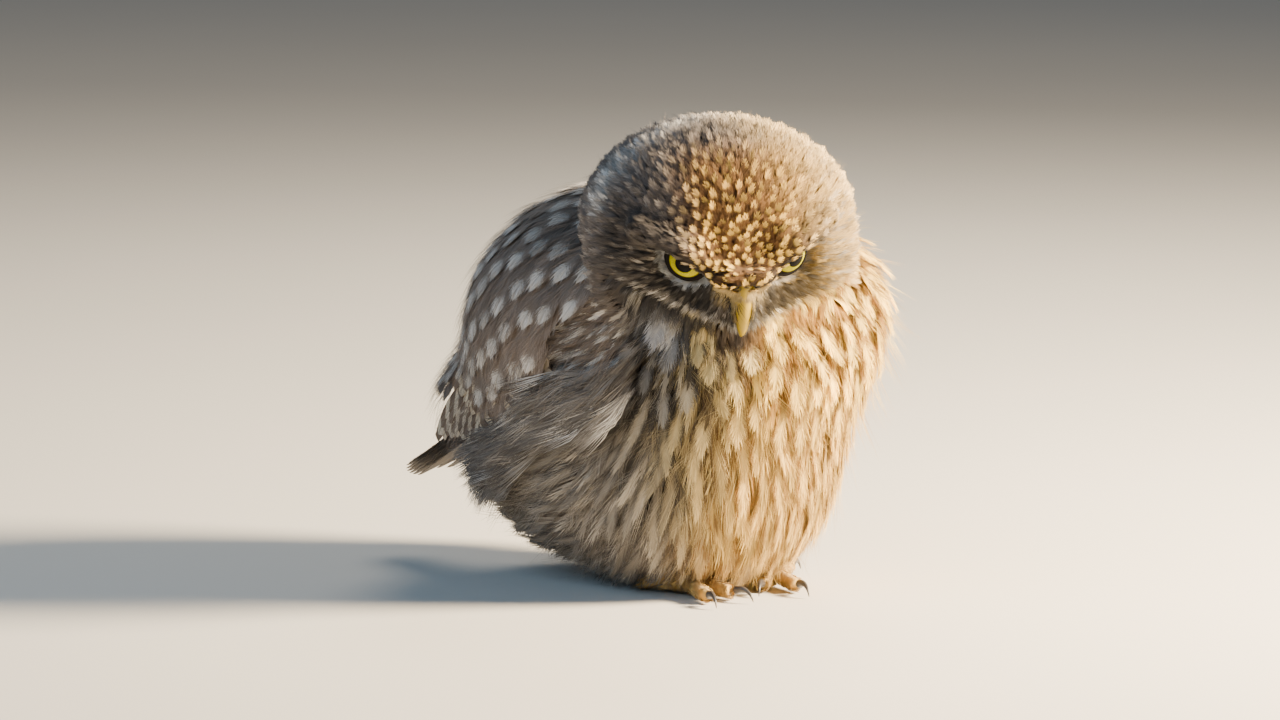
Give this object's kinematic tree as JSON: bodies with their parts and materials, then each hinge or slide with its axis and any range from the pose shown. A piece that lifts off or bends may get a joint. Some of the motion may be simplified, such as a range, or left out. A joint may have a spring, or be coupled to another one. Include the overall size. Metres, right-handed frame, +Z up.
{
  "type": "little owl",
  "caption": "Life-size still model of a little owl, crouched and fluffed, with its head bowed and turned to its right, folded wings, short tail and clawed feet.",
  "frame": {"origin": "middle of the bounding box's base, on the floor that the feet and the belly's plumage rest on", "axes": "+Z up, the bird's body faces -Y and its left side is +X; the tail points to +Y"},
  "size_m": [0.1211, 0.1873, 0.1562],
  "materials": {
    "brown_plumage": "matt",
    "pale_plumage": "matt",
    "iris": "gloss",
    "bill": "satin",
    "horn": "satin",
    "toes": "matt"
  },
  "bodies": {
    "root": {"head": "brown_plumage", "neck": "brown_plumage", "torso": "pale_plumage", "tail": "brown_plumage", "wing_left": "brown_plumage", "wing_right": "brown_plumage", "beak_upper": "bill", "beak_lower": "bill", "eye_left": "iris", "eye_right": "iris", "leg_left": "pale_plumage", "leg_right": "pale_plumage", "foot_left": "toes", "foot_right": "toes", "claw_left_inner": "horn", "claw_left_middle": "horn", "claw_left_outer": "horn", "claw_left_hind": "horn", "claw_right_inner": "horn", "claw_right_middle": "horn", "claw_right_outer": "horn", "claw_right_hind": "horn"}
  },
  "joints": []
}
